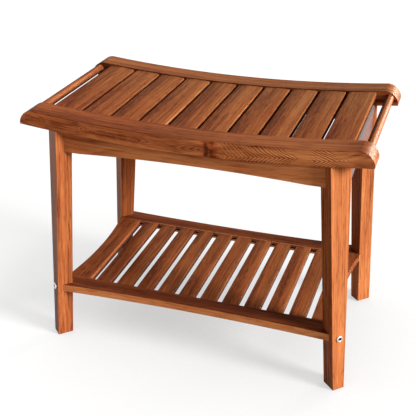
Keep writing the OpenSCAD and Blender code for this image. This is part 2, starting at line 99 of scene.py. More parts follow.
class Tree:
    """Builds a node tree. Most calls add nodes and return an output."""

    def __init__(self, tree):
        self.tree = tree

    def add(self, kind, **settings):
        node = self.tree.nodes.new(kind)
        for key, value in settings.items():
            setattr(node, key, value)
        return node

    def feed(self, socket, value):
        """Links an output to the socket, or sets a constant on it."""
        if isinstance(value, bpy.types.NodeSocket):
            self.tree.links.new(value, socket)
        else:
            socket.default_value = value

    def filled(self, kind, values, **settings):
        """A node whose first inputs get these values."""
        node = self.add(kind, **settings)
        for socket, value in zip(node.inputs, values):
            self.feed(socket, value)
        return node

    def math(self, operation, *values, clamp=False):
        settings = {"operation": operation, "use_clamp": clamp}
        return self.filled("ShaderNodeMath", values, **settings).outputs[0]

    def plus(self, a, b):
        return self.math("ADD", a, b)

    def minus(self, a, b):
        return self.math("SUBTRACT", a, b)

    def times(self, a, b):
        return self.math("MULTIPLY", a, b)

    def times_plus(self, a, b, c):
        return self.math("MULTIPLY_ADD", a, b, c)

    def vector(self, operation, *values):
        node = self.filled("ShaderNodeVectorMath", values, operation=operation)
        return node.outputs["Value" if operation in ("LENGTH", "DOT_PRODUCT") else "Vector"]

    def split(self, v):
        return self.filled("ShaderNodeSeparateXYZ", (v,)).outputs

    def join(self, x, y, z):
        return self.filled("ShaderNodeCombineXYZ", (x, y, z)).outputs[0]

    def noise(self, v, scale, detail=2.0, rough=0.5, offset=None):
        """Noise with this many cells per metre along each axis."""
        if offset:
            v = self.vector("ADD", v, offset)
        node = self.add("ShaderNodeTexNoise")
        self.feed(node.inputs["Vector"], self.vector("MULTIPLY", v, scale))
        node.inputs["Scale"].default_value = 1.0
        node.inputs["Detail"].default_value = detail
        node.inputs["Roughness"].default_value = rough
        return node.outputs["Fac"]

    def band(self, value, low, high, out_low=0.0, out_high=1.0):
        """Goes smoothly from out_low, where value is low, to out_high, where it is high."""
        values = (value, low, high, out_low, out_high)
        node = self.filled("ShaderNodeMapRange", values, interpolation_type="SMOOTHSTEP")
        return node.outputs[0]

    def lines(self, phase, low, high):
        """A line for each whole step of phase, as wide as low and high say."""
        middle = self.math("ABSOLUTE", self.minus(self.math("FRACT", phase), MIDDLE))
        return self.band(middle, low, high)

    def away(self, v, centre, scale):
        """Distance from centre, with each axis multiplied by its scale."""
        v = self.vector("MULTIPLY", self.vector("SUBTRACT", v, centre), scale)
        return self.vector("LENGTH", v)

    def ramp(self, value, stops):
        node = self.add("ShaderNodeValToRGB")
        self.feed(node.inputs[0], value)
        elements = node.color_ramp.elements
        while len(elements) < len(stops):
            elements.new(MIDDLE)
        for element, (place, colour) in zip(elements, stops):
            element.position = place
            element.color = (*colour, 1.0)
        return node.outputs[0]

    def mix(self, fac, a, b, blend="MIX"):
        node = self.add("ShaderNodeMix", data_type="RGBA", blend_type=blend)
        factor, colour_a, colour_b, result = 0, 6, 7, 2
        self.feed(node.inputs[factor], fac)
        self.feed(node.inputs[colour_a], a)
        self.feed(node.inputs[colour_b], b)
        return node.outputs[result]

    def bump(self, shader, height, strength, distance):
        """Raises the shader's surface by height, in steps of distance."""
        node = self.add("ShaderNodeBump")
        node.inputs["Strength"].default_value = strength
        node.inputs["Distance"].default_value = distance
        self.feed(node.inputs["Height"], height)
        self.feed(shader.inputs["Normal"], node.outputs[0])


def new_group(name, inputs, outputs):
    """An empty node group: the group, its Tree, what it is given and what it gives out."""
    group = bpy.data.node_groups.new(name, "ShaderNodeTree")
    for label, kind, default in inputs:
        socket = group.interface.new_socket(label, in_out="INPUT", socket_type=kind)
        if default is not None:
            socket.default_value = default
    for label, kind in outputs:
        group.interface.new_socket(label, in_out="OUTPUT", socket_type=kind)
    t = Tree(group)
    return group, t, t.add("NodeGroupInput").outputs, t.add("NodeGroupOutput").inputs


def new_material(name):
    """An empty material: the material, its Tree and its shader."""
    material = bpy.data.materials.new(name)
    material.use_nodes = True
    tree = material.node_tree
    shader = next(n for n in tree.nodes if n.type == "BSDF_PRINCIPLED")
    return material, Tree(tree), shader


# ---- Teak ----
# The wood is one solid pattern in a board's own coordinates: X along the grain, Y across the
# face and Z into it. Growth rings are circles round a pith line that runs along X at Y = 0,
# Depth in front of the face, so flat faces show arches and edges show lines.

FLOAT, VECTOR, COLOUR = "NodeSocketFloat", "NodeSocketVector", "NodeSocketColor"
# How far the rings sway and ripple.
RING_SWAY, RING_RIPPLE = 0.014, 0.004
# How much each pattern changes the lightness of the wood.
FIBRE_WEIGHT, STREAK_WEIGHT, BAND_WEIGHT, BLOTCH_WEIGHT, PORE_WEIGHT = 0.42, 0.9, 0.32, 0.22, 0.16
# How strong the pattern of redder places is, and what red and pale places multiply the
# colour by.
RED_WEIGHT = 0.35
REDDER, PALER = (0.90, 0.62, 0.50, 1.0), (1.0, 1.25, 1.30, 1.0)
# What fibres, late wood and pores add to the roughness, and to the height.
FIBRE_ROUGH, LATE_ROUGH, PORE_ROUGH = 0.14, -0.05, 0.2
FIBRE_HEIGHT, WIDE_HEIGHT, LATE_HEIGHT, PORE_DEPTH = 0.55, 0.5, 0.25, 0.6
# From the darkest wood to the lightest.
TEAK_COLOURS = (
    (0.0, (0.075, 0.016, 0.006)),
    (0.22, (0.165, 0.041, 0.014)),
    (0.42, (0.300, 0.083, 0.026)),
    (0.58, (0.410, 0.128, 0.041)),
    (0.78, (0.550, 0.197, 0.067)),
    (1.0, (0.680, 0.290, 0.118)),
)

teak, t, given, out = new_group(
    "teak",
    (
        ("Board", VECTOR, None),
        ("Depth", FLOAT, 0.05),
        ("Spacing", FLOAT, 0.0032),
        ("Rings", FLOAT, 0.22),
        ("Streaks", FLOAT, 0.55),
        ("Tone", FLOAT, 0.0),
        ("Dark", FLOAT, 0.0),
        ("Mottle", FLOAT, 0.15),
        ("Red", FLOAT, 0.0),
        ("Pale", FLOAT, 0.0),
        ("Satin", FLOAT, 0.17),
    ),
    (("Color", COLOUR), ("Roughness", FLOAT), ("Height", FLOAT)),
)
p = given["Board"]
px, py, pz = t.split(p)
wander = t.noise(p, (3.0, 22.0, 22.0))
shiver = t.noise(p, (5.0, 45.0, 45.0), 3.0, 0.6, offset=(5.1, 3.3, 8.2))
sway = t.times_plus(wander, RING_SWAY, -RING_SWAY / 2)
ripple = t.times_plus(shiver, RING_RIPPLE, -RING_RIPPLE / 2)
ry = t.plus(t.plus(py, sway), ripple)
rz = t.plus(t.plus(pz, given["Depth"]), sway)
phase = t.math("DIVIDE", t.vector("LENGTH", t.join(0.0, ry, rz)), given["Spacing"])

# Each ring darkens slowly and ends at once, and some rings are weaker than others.
turn = t.math("FRACT", phase)
late = t.times(t.band(turn, 0.35, 0.88), t.minus(1.0, t.band(turn, 0.9, 1.0)))
uneven = t.noise(t.join(t.math("FLOOR", phase), 0.3, 0.7), (0.83, 1.0, 1.0), 1.0)
late = t.times(late, t.band(uneven, 0.3, 0.65, 0.35, 1.0))

wavy = t.join(px, ry, rz)
fibre = t.noise(p, (16.0, 820.0, 820.0), 3.0, 0.62)
fibre_wide = t.noise(wavy, (4.5, 210.0, 210.0), 3.0, 0.6)
streak = t.noise(wavy, (2.2, 75.0, 75.0), 2.0, 0.55)
bands = t.noise(wavy, (1.1, 26.0, 26.0), 1.0)
blotch = t.noise(p, (7.0, 16.0, 16.0))
fleck = t.noise(p, (38.0, 330.0, 330.0), 3.0, 0.62, offset=(2.9, 0.4, 6.1))
pore = t.noise(p, (75.0, 2300.0, 2300.0), 1.0)
pore = t.times(t.band(pore, 0.36, 0.26), t.band(late, 0.0, 0.6, 1.0, 0.5))

# How light the wood is, from 0 to 1: a place on the ramp of its colours.
value = MIDDLE
for pattern, weight in (
    (fibre, FIBRE_WEIGHT),
    (fibre_wide, given["Streaks"]),
    (streak, t.times(given["Streaks"], STREAK_WEIGHT)),
    (bands, BAND_WEIGHT),
    (blotch, BLOTCH_WEIGHT),
):
    value = t.times_plus(t.minus(pattern, MIDDLE), weight, value)
value = t.plus(t.minus(value, t.times(late, given["Rings"])), given["Tone"])
value = t.minus(value, t.times(pore, PORE_WEIGHT))
value = t.minus(value, t.times(t.band(fleck, 0.47, 0.70), given["Mottle"]))
value = t.math("SUBTRACT", value, given["Dark"], clamp=True)

red = t.noise(p, (3.0, 30.0, 30.0), offset=(1.7, 9.2, 4.4))
red = t.math("MULTIPLY_ADD", t.band(red, 0.45, 0.75), RED_WEIGHT, given["Red"], clamp=True)
colour = t.mix(red, t.ramp(value, TEAK_COLOURS), REDDER, "MULTIPLY")
t.feed(out["Color"], t.mix(given["Pale"], colour, PALER, "MULTIPLY"))
rough = t.times_plus(late, LATE_ROUGH, t.times_plus(fibre, FIBRE_ROUGH, given["Satin"]))
t.feed(out["Roughness"], t.times_plus(pore, PORE_ROUGH, rough))
height = t.times_plus(fibre, FIBRE_HEIGHT, t.times(fibre_wide, WIDE_HEIGHT))
height = t.times_plus(late, LATE_HEIGHT, height)
t.feed(out["Height"], t.minus(height, t.times(pore, PORE_DEPTH)))

WOOD_IOR = 1.07
GRAIN_DEPTH = 0.0005
# The painted light and shade of a side set in where the normal's dot product with the side's
# direction goes from the first of these to the second.
FACING = (0.55, 0.85)
# A coat on the rounded upper right of the rails and bars, set only where the rim sun reflects,
# gives them a painted highlight. It sets in like a side's painted tone. Its normal is turned to
# the right by SHINE_LEAN, and so its sheen shows nearer the top.
SHINE_NORMAL = (0.707, 0.0, 0.707)
SHINE_FACING = (0.84, 0.985)
SHINE_LEAN = math.radians(15.0)
SHINE_ROUGHNESS = 0.44
# The sides of a seat slat have no sheen. It sets in where the normal's Z goes from the first of
# these to the second, and the top has the usual one.
SHEEN_FACING, SHEEN = (0.3, 0.8), 0.5


def board_matrix(along, face, origin):
    """World to board: along is the grain, and face is where the main face looks."""
    x = Vector(along).normalized()
    z = -Vector(face).normalized()
    z = (z - x * z.dot(x)).normalized()
    rotation = Matrix((x, z.cross(x), z))
    return rotation, -(rotation @ Vector(origin))


def facing_up(m, normal):
    return m.band(m.split(normal)[2], *FACING)


def highlight_coat(m, shader, normal, ior):
    """The coat that puts a painted highlight on a piece, where the rim sun reflects."""
    nx, ny, nz = m.split(normal)
    cos, sin = math.cos(SHINE_LEAN), math.sin(SHINE_LEAN)
    leaning = m.join(
        m.times_plus(nx, cos, m.times(nz, sin)), ny, m.times_plus(nz, cos, m.times(nx, -sin))
    )
    highlight_place = m.band(m.vector("DOT_PRODUCT", normal, SHINE_NORMAL), *SHINE_FACING)
    m.feed(shader.inputs["Coat Weight"], highlight_place)
    m.feed(shader.inputs["Coat Normal"], leaning)
    shader.inputs["Coat IOR"].default_value = ior
    shader.inputs["Coat Roughness"].default_value = SHINE_ROUGHNESS


def wood(
    name, along, face, origin, *, shift, depth, spacing, rings, streaks, tone, bump=0.3, bend=0.0,
    mottle=0.15, top=0.0, ior=WOOD_IOR, satin=0.17, red=0.0, pale=0.0, figure=None, faces=(),
    shine=None, dull_sides=False
):
    """A teak material for one board. shift moves the pattern, so that no two boards match.

    bend curves the grain along a bowed board, and top darkens what looks up, as painted shade
    (a negative top lightens it, as painted light). faces are (direction, tone) pairs that paint
    light and shade on the sides that look that way, and shine is the index of refraction of the
    highlight coat. figure is a function that feeds the grain's other inputs.
    """
    material, m, shader = new_material(name)
    rotation, place = board_matrix(along, face, origin)
    mapping = m.add("ShaderNodeMapping")
    mapping.inputs["Location"].default_value = place
    mapping.inputs["Rotation"].default_value = rotation.to_euler("XYZ")
    m.feed(mapping.inputs["Vector"], m.add("ShaderNodeTexCoord").outputs["Object"])
    x, y, z = m.split(mapping.outputs[0])
    board = m.join(x, m.times_plus(m.times(x, x), bend, y), z)
    grain = m.add("ShaderNodeGroup", node_tree=teak)
    m.feed(grain.inputs["Board"], m.vector("ADD", board, (shift, 0.0, 0.0)))
    for label, value in (
        ("Depth", depth),
        ("Spacing", spacing),
        ("Rings", rings),
        ("Streaks", streaks),
        ("Tone", tone),
        ("Mottle", mottle),
        ("Red", red),
        ("Pale", pale),
        ("Satin", satin),
    ):
        grain.inputs[label].default_value = value
    normal = m.add("ShaderNodeNewGeometry").outputs["Normal"]
    if figure:
        figure(m, board, grain, normal)
    shades = [m.times(facing_up(m, normal), -top)] if top else []
    for direction, shade in faces:
        shades.append(m.band(m.vector("DOT_PRODUCT", normal, direction), *FACING, 0.0, shade))
    tone_socket = grain.inputs["Tone"]
    for shade in shades:
        before = tone_socket.links[0].from_socket if tone_socket.links else tone
        m.feed(tone_socket, m.plus(shade, before))
    m.feed(shader.inputs["Base Color"], grain.outputs["Color"])
    m.feed(shader.inputs["Roughness"], grain.outputs["Roughness"])
    shader.inputs["IOR"].default_value = ior
    if dull_sides:
        sheen = m.band(m.split(normal)[2], *SHEEN_FACING, 0.0, SHEEN)
        m.feed(shader.inputs["Specular IOR Level"], sheen)
    if shine:
        highlight_coat(m, shader, normal, shine)
    m.bump(shader, grain.outputs["Height"], bump, GRAIN_DEPTH)
    return material


# ---- Figure of single boards ----
# Places are board coordinates. On the front rail and the front apron, x is the bench's own X
# and y runs down from the middle of the face. On a slat, x runs to the back and y to the right
# from its middle, and z runs down from its top.

# Along the front rail: how far the pith is from the face, how strong its rings are, how light
# it is, and how clear its top edge is, as shares of the four numbers below.
PITH_DEPTHS = (
    (-0.305, 0.40), (-0.275, 0.14), (-0.255, 0.30), (-0.200, 0.24), (-0.170, 0.10),
    (-0.150, 0.15), (-0.092, 0.12), (-0.060, 0.22), (-0.020, 0.24), (0.015, 0.14),
    (0.043, 0.03), (0.062, 0.20), (0.120, 0.60), (0.240, 0.68), (0.305, 0.60),
)
RING_STRENGTHS = (
    (-0.305, 0.75), (-0.200, 0.95), (-0.165, 0.60), (-0.080, 0.60), (-0.055, 0.75),
    (0.000, 0.80), (0.040, 0.8), (0.062, 0.3), (0.235, 0.3), (0.262, 0.9), (0.305, 0.9),
)
RAIL_TONES = (
    (-0.305, 0.44), (-0.15, 0.30), (0.0, 0.36), (0.06, 0.50), (0.16, 0.78), (0.27, 0.66),
    (0.285, 0.20),
)
RIDGE_STRENGTHS = ((-0.30, 0.65), (-0.05, 0.75), (0.10, 0.9), (0.27, 1.0))
PITH_FARTHEST, RINGS_STRONGEST, RAIL_LIGHTEST, RIDGE_DARKEST = 0.042, 0.27, 0.22, 0.24
# Where the rail looks up, the pith is this far all along.
PITH_AT_TOP = 0.050
# The dark line where the face meets the top.
RIDGE_Y = -0.0138

# Centre, and what each axis is multiplied by before the distance from it is taken.
KNOT = (0.0405, 0.001, 0.0), (0.85, 0.55, 1.0)
KNOT_CORE = (0.0335, 0.0015, 0.0), (1.0, 0.40, 1.0)
KNOT_FOOT = (0.0500, 0.0115, 0.0), (0.4, 1.0, 1.0)
CORE_DARK, FOOT_DARK = 0.24, 0.13

# Arches: from x to x, y of the middle line, and how far the arms lean back, at first and per
# metre. Eyes: x and y.
CHEVRONS = ((0.060, 0.184, 0.009, 0.8, 9.0), (0.208, 0.262, 0.005, 1.9, 0.0))
EYES = ((-0.151, -0.001), (-0.134, 0.0005), (-0.113, 0.0), (-0.091, 0.002))
CHEVRON_PITCH, CHEVRON_WAVER, CHEVRON_SLOPE, CHEVRON_FADE = 0.0072, 1.5, -0.06, 0.006
CHEVRON_DARK, CHEVRON_LIGHT = 0.38, -0.16
EYE_SCALE, EYE_PITCH, EYE_WAVER, EYE_DARK = (0.62, 1.0, 1.0), 0.0026, 0.0035, 0.17

BACK_RAIL_TONE, BACK_RAIL_PALE = -0.08, 0.7

# On a slat: how far from its right side the painted shade on its edge and the paler painted
# highlight on its side begin and are full, and how far below its top the painted shade on the
# sides begins and is full.
DARK_EDGE, PALE_SIDE, DARK_BELOW = (0.0035, 0.0008), (0.0025, 0.0008), (0.0035, 0.0065)

# The front apron, as bands along it: from x, to x, and the values there.
APRON_TONE, APRON_RED = (-0.22, 0.26, 0.22, 0.36), (-0.140, -0.210, 0.0, 0.30)
# Painted shade beside the legs.
APRON_DARK_ENDS = (
    (0.203, 0.213, 0.0, 0.04), (0.215, 0.245, 0.0, 0.09), (-0.120, -0.195, 0.0, 0.15),
)
# The shadow of the rail also sets in from the first to the second y.
RAIL_SHADOW, RAIL_SHADOW_Y = (-0.10, 0.10, 0.05, 0.16), (-0.0095, -0.0135)


def stops_along(m, x, places):
    """A ramp along a board: places are (x, value from 0 to 1)."""
    low, high = places[0][0], places[-1][0]
    run = m.times_plus(x, 1.0 / (high - low), -low / (high - low))
    return m.ramp(run, [((place - low) / (high - low), (v,) * 3) for place, v in places])


def knot_marks(m, board):
    """The knot: how dark it is, its core, and the distance from its middle."""
    away = m.away(board, *KNOT)
    ragged = m.noise(board, (150.0, 85.0, 40.0), 3.0, 0.6, offset=(0.013, 0.0, 0.0))
    knot = m.band(m.times_plus(ragged, -0.008, away), 0.0085, 0.003)
    core = m.band(m.times_plus(ragged, -0.005, m.away(board, *KNOT_CORE)), 0.0042, -0.0010)
    foot = m.band(m.away(board, *KNOT_FOOT), 0.0050, 0.0020, 0.0, FOOT_DARK)
    spot = m.times(knot, m.band(ragged, 0.38, 0.62, 0.08, 0.28))
    return m.plus(m.times_plus(core, CORE_DARK, spot), foot), core, away


def add_arches(m, board, waver, dark):
    """Adds the arches that point to the right."""
    x, y, _ = m.split(board)
    patchy = m.noise(board, (45.0, 110.0, 110.0), offset=(0.4, 0.1, 0.3))
    for low, high, middle, steep, spread in CHEVRONS:
        run = m.minus(x, low)
        aside = m.math("ABSOLUTE", m.minus(y, m.times_plus(run, CHEVRON_SLOPE, middle)))
        point = m.plus(x, m.times(aside, m.times_plus(run, spread, steep)))
        phase = m.times_plus(waver, CHEVRON_WAVER, m.math("DIVIDE", point, CHEVRON_PITCH))
        line = m.times_plus(m.lines(phase, 0.40, 0.14), CHEVRON_DARK, CHEVRON_LIGHT)
        right_end = m.band(point, high + CHEVRON_FADE, high)
        left_end = m.band(x, low - CHEVRON_FADE, low + CHEVRON_FADE)
        inside = m.times(m.times(right_end, left_end), m.band(patchy, 0.36, 0.60, 0.45, 1.0))
        inside = m.times(inside, m.band(x, 0.09, 0.16, 0.70, 1.5))
        dark = m.times_plus(line, inside, dark)
    return dark


def add_eyes(m, board, waver, dark):
    """Adds the small eyes at the left."""
    for x, y in EYES:
        eye = m.times_plus(waver, EYE_WAVER, m.away(board, (x, y, 0.0), EYE_SCALE))
        line = m.lines(m.math("DIVIDE", eye, EYE_PITCH), 0.36, 0.14)
        dark = m.times_plus(line, m.band(eye, 0.0085, 0.0060, 0.0, EYE_DARK), dark)
    return dark


def front_rail_figure(m, board, grain, normal):
    """The front rail's face: small eyes, a knot, then arches that point to the right."""
    x, y, _ = m.split(board)
    up = facing_up(m, normal)
    face = m.minus(1.0, up)
    depth = m.times(stops_along(m, x, PITH_DEPTHS), PITH_FARTHEST)
    steady = m.times(m.minus(PITH_AT_TOP, depth), up)
    m.feed(grain.inputs["Depth"], m.plus(depth, steady))
    m.feed(grain.inputs["Rings"], m.times(stops_along(m, x, RING_STRENGTHS), RINGS_STRONGEST))
    # Darker throughout, and on top beside the rolled right end a little more, as painted shade
    # there.
    shade = m.times_plus(m.times(up, m.band(x, 0.252, 0.270)), -0.05, -0.04)
    tone = m.times_plus(stops_along(m, x, RAIL_TONES), RAIL_LIGHTEST, shade)
    m.feed(grain.inputs["Tone"], tone)
    m.feed(grain.inputs["Streaks"], m.times_plus(up, -0.25, 0.72))

    spot, core, away = knot_marks(m, board)
    ridge = m.band(m.math("ABSOLUTE", m.plus(y, -RIDGE_Y)), 0.0013, 0.0004)
    ridge = m.times(ridge, stops_along(m, x, RIDGE_STRENGTHS))
    dark = m.times_plus(ridge, RIDGE_DARKEST, spot)
    # A painted shadow line along the face's lower edge, stronger to the right.
    lower_edge = m.times(m.band(y, 0.0112, 0.0132), m.band(x, -0.10, 0.10, 0.06, 0.16))
    dark = m.plus(dark, lower_edge)
    waver = m.noise(board, (26.0, 70.0, 70.0))
    dark = add_eyes(m, board, waver, add_arches(m, board, waver, dark))
    m.feed(grain.inputs["Dark"], m.times(dark, face))

    blush = m.times(m.band(away, 0.019, 0.008), m.times_plus(core, -0.7, face))
    left = m.times(m.band(x, 0.02, -0.10), 0.16)
    m.feed(grain.inputs["Red"], m.times_plus(blush, 0.7, left))


def back_rail_figure(m, board, grain, normal):
    """The back rail: painted shade darkens its inner side, more behind the slats than at the right
    bar.
    """
    inner = m.band(m.split(normal)[1], -FACING[0], -FACING[1])
    shade = m.band(m.split(board)[0], 0.225, 0.255, -0.25, -0.12)
    m.feed(grain.inputs["Tone"], m.times_plus(inner, shade, BACK_RAIL_TONE))
    m.feed(grain.inputs["Pale"], m.times_plus(inner, -BACK_RAIL_PALE, BACK_RAIL_PALE))


def slat_figure(half, strength, tone, far, tilt=0.0):
    """A slat: mottled and darker towards its left edge, clearer and lighter to the right. The
    darker left and lighter right are partly mottled grain and partly painted shade and light, as
    on a crowned top lit from the right.

    half is half of its width, strength is that of the mottle, far sets how much lighter and
    paler its back end is, as painted reflection, and tilt is the slope of its top, so that its
    sides start evenly.
    """

    def figure(m, board, grain, normal):
        x, y, z = m.split(board)
        waver = m.noise(board, (6.0, 12.0, 12.0))
        # The darker, mottled left: partly grain and partly painted shade.
        across = m.times_plus(waver, 0.5 * half, m.minus(y, 0.25 * half))
        left = m.band(across, 0.3 * half, -0.8 * half)
        left = m.times(left, m.band(x, 0.12, -0.10, 0.75, 1.0))
        mottle = m.noise(board, (42.0, 300.0, 300.0), 3.0, 0.68)
        streaky = m.times(left, m.band(mottle, 0.34, 0.66, 0.06 * strength, 0.26 * strength))
        marks = m.noise(board, (52.0, 240.0, 240.0), offset=(0.7, 0.2, 0.1))
        marks = m.times(m.band(marks, 0.66, 0.76), 0.22)
        # Painted shade along the right edge, and on the sides below the top, in the gaps between
        # slats.
        edge = m.times(m.band(y, half - DARK_EDGE[0], half - DARK_EDGE[1]), 0.06)
        level = m.times_plus(y, tilt, m.minus(z, abs(tilt) * half))
        below = m.band(level, *DARK_BELOW, 0.0, 0.30)
        m.feed(grain.inputs["Dark"], m.plus(m.plus(streaky, marks), m.plus(edge, below)))
        # Painted light on the right half towards the back, and a painted reflection lightens the
        # back end.
        right = m.times(m.band(y, 0.0, 0.6 * half), m.band(x, -0.09, -0.02, 0.0, 0.8 * far))
        back_end = m.band(x, -0.02, 0.16, tone, tone + 0.5 * far)
        m.feed(grain.inputs["Tone"], m.plus(right, back_end))
        # The paler right edge is a painted highlight, and the paler back end a painted reflection.
        side = m.band(y, half - PALE_SIDE[0], half - PALE_SIDE[1], 0.0, 0.8)
        paler = m.band(x, -0.10, 0.12, 0.1, 0.1 + 20.0 * far)
        m.feed(grain.inputs["Pale"], m.math("MAXIMUM", side, paler))

    return figure


def apron_figure(m, board, grain, normal):
    """The front apron: lighter to the right, and darker beside the legs and under the rail, as
    painted shade.
    """
    x, y, _ = m.split(board)
    m.feed(grain.inputs["Tone"], m.band(x, *APRON_TONE))
    m.feed(grain.inputs["Red"], m.band(x, *APRON_RED))
    dark = m.times(m.band(y, *RAIL_SHADOW_Y), m.band(x, *RAIL_SHADOW))
    for end in APRON_DARK_ENDS:
        dark = m.plus(dark, m.band(x, *end))
    m.feed(grain.inputs["Dark"], dark)


def leg_figure(foot_tone, head_tone):
    """A leg: fine dark lines run straight up it."""

    def figure(m, board, grain, normal):
        m.feed(grain.inputs["Tone"], m.band(m.split(board)[0], 0.05, 0.40, foot_tone, head_tone))
        lines = m.noise(board, (1.2, 310.0, 310.0), 2.0, 0.4)
        m.feed(grain.inputs["Dark"], m.band(lines, 0.58, 0.70, 0.0, 0.22))

    return figure


# ---- The boards ----

SOFTEN_ANGLE, SOFTEN_SEGMENTS = math.radians(30.0), 3
FLAT_ANGLE = math.radians(0.3)
WELD_DISTANCE = 1e-6
FACE_AREA_WEIGHT = 100


def soften(piece, width):
    """Rounds the sharp edges of a CAD node with modifiers, and shades it smoothly."""
    weld = piece.modifiers.new("weld", "WELD")
    weld.merge_threshold = WELD_DISTANCE
    plain = piece.modifiers.new("plain", "DECIMATE")
    plain.decimate_type = "DISSOLVE"
    plain.angle_limit = FLAT_ANGLE
    bevel = piece.modifiers.new("bevel", "BEVEL")
    bevel.width = width
    bevel.segments = SOFTEN_SEGMENTS
    bevel.limit_method = "ANGLE"
    bevel.angle_limit = SOFTEN_ANGLE
    bevel.harden_normals = True
    bevel.use_clamp_overlap = True
    even = piece.modifiers.new("even", "WEIGHTED_NORMAL")
    even.mode = "FACE_AREA"
    even.weight = FACE_AREA_WEIGHT
    even.keep_sharp = True


def use(node_name, material, edge=None):
    """Gives a CAD node this material, and rounds its edges to the radius edge."""
    piece = nodes[node_name]
    piece.data.materials.clear()
    piece.data.materials.append(material)
    if edge:
        soften(piece, edge)


UP, FRONT, BACK, LEFT, RIGHT = (0, 0, 1), (0, -1, 0), (0, 1, 0), (-1, 0, 0), (1, 0, 0)
ALONG_X, ALONG_Y, ALONG_Z = (1, 0, 0), (0, 1, 0), (0, 0, 1)
SIDES = (("left", LEFT), ("right", RIGHT))
# How much the grain of the bowed pieces bends: its rise over the square of the distance from
# the middle.
RAIL_BEND = 0.19
RAIL_EDGE, SLAT_EDGE, BOARD_EDGE, LEG_EDGE, SHELF_SLAT_EDGE = 0.0009, 0.0008, 0.001, 0.0012, 0.0005

# The front rail's top is darkened a little, as painted shade.
use(
    "top_rail_front",
    wood(
        "teak_rail_front", ALONG_X, FRONT, (0, -0.170, 0.433), shift=0.0, depth=0.02,
        spacing=0.0017, rings=0.30, streaks=0.72, tone=0.02, bend=RAIL_BEND, top=0.09, ior=1.045,
        shine=1.118, figure=front_rail_figure,
    ),
    RAIL_EDGE,
)
# The back rail's top is lightened a little, as painted light.
use(
    "top_rail_back",
    wood(
        "teak_rail_back", ALONG_X, BACK, (0, 0.170, 0.436), shift=3.7, depth=0.03,
        spacing=0.0026, rings=0.22, streaks=0.62, tone=BACK_RAIL_TONE, bend=-RAIL_BEND,
        top=-0.02, ior=1.04, shine=1.12, pale=BACK_RAIL_PALE, figure=back_rail_figure,
    ),
    RAIL_EDGE,
)
# A bar is darker on its upper left, as painted shade.
for k, (side, _) in enumerate(SIDES):
    use(
        f"handle_bar_{side}",
        wood(
            f"teak_bar_{side}", ALONG_Y, UP, (0, 0, 0.47), shift=7.3 + 1.9 * k, depth=0.06,
            spacing=0.003, rings=0.18, streaks=0.4, tone=-0.02, bump=0.1, ior=1.04, satin=0.26,
            shine=1.126, pale=0.3, faces=(((-0.85, 0.0, 0.53), -0.25),),
        ),
    )

# From the left slat to the right one.
SEAT_TONES = (-0.143, -0.125, -0.034, -0.021, -0.029, -0.040, 0.008, -0.043, -0.030, -0.012)
SHELF_TONES = (-0.130, -0.138, -0.142, -0.140, -0.082, -0.087, -0.020, -0.100, -0.043, -0.107)
# How much painted reflection lightens and pales a slat towards its back end.
SEAT_FAR, SHELF_FAR = 0.035, 0.02
SEAT_MOTTLE, SHELF_MOTTLE = 1.0, 0.85

for i, tone in enumerate(SEAT_TONES, 1):
    name = f"seat_slat_{i:02d}"
    low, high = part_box(name)
    middle = (low.x + high.x) / 2
    figure = slat_figure((high.x - low.x) / 2, SEAT_MOTTLE, tone, SEAT_FAR, 2 * RAIL_BEND * middle)
    use(
        name,
        wood(
            f"teak_slat_{i:02d}", ALONG_Y, UP, (middle, 0, high.z), shift=1.37 * i,
            depth=0.018 + 0.009 * math.sin(i * 3.1), spacing=0.0030, rings=0.16, streaks=0.44,
            tone=0.0, ior=1.045, satin=0.32, mottle=0.12, figure=figure, dull_sides=True,
        ),
        SLAT_EDGE,
    )

for k, (side, face, bend, figure) in enumerate(
    (("front", FRONT, RAIL_BEND, apron_figure), ("back", BACK, -RAIL_BEND, None)), 1
):
    use(
        f"apron_{side}",
        wood(
            f"teak_apron_{side}", ALONG_X, face, (0, 0, 0.40), shift=11.0 * k, depth=0.09,
            spacing=0.0034, rings=0.16, streaks=0.5, tone=0.20, bend=bend, figure=figure,
        ),
        BOARD_EDGE,
    )
# The end aprons are darkened as painted shade.
for k, (side, face) in enumerate(SIDES, 1):
    use(
        f"apron_{side}",
        wood(
            f"teak_apron_{side}", ALONG_Y, face, (0, 0, 0.35), shift=5.0 * k, depth=0.08,
            spacing=0.0034, rings=0.16, streaks=0.5, tone=-0.40, ior=1.11,
        ),
        BOARD_EDGE,
    )

CORNERS = (
    ("front_left", -1, -1), ("front_right", 1, -1), ("back_left", -1, 1), ("back_right", 1, 1),
)
# For each corner: the leg's tone at its foot and its head, and what its left sides add, painted
# light where it is above 0 and painted shade where it is below.
LEG_TONES = ((0.0, 0.11), (0.13, 0.15), (-0.09, -0.09), (0.12, 0.08))
LEG_LEFT_TONES = (0.02, -0.39, 0.74, -0.16)
# Middle of the back right leg at the floor and under the seat.
LEG_FOOT, LEG_HEAD = Vector((0.2683, 0.1508, 0.0)), Vector((0.2403, 0.1452, 0.448))
LEG_PITH_ASIDE = 0.05
for k, (corner, sx, sy) in enumerate(CORNERS):
    foot = Vector((sx * LEG_FOOT.x, sy * LEG_FOOT.y, LEG_FOOT.z))
    head = Vector((sx * LEG_HEAD.x, sy * LEG_HEAD.y, LEG_HEAD.z))
    outwards = Vector((sx, sy, 0.0)).normalized()
    origin = foot + LEG_PITH_ASIDE * Vector((sx, -sy, 0))
    use(
        f"leg_{corner}",
        wood(
            f"teak_leg_{corner}", head - foot, outwards, origin, shift=2.3 + 4.1 * k, depth=0.07,
            spacing=0.0036, rings=0.12, streaks=0.45, tone=0.0, ior=1.08,
            figure=leg_figure(*LEG_TONES[k]), faces=((LEFT, LEG_LEFT_TONES[k]),),
        ),
        LEG_EDGE,
    )

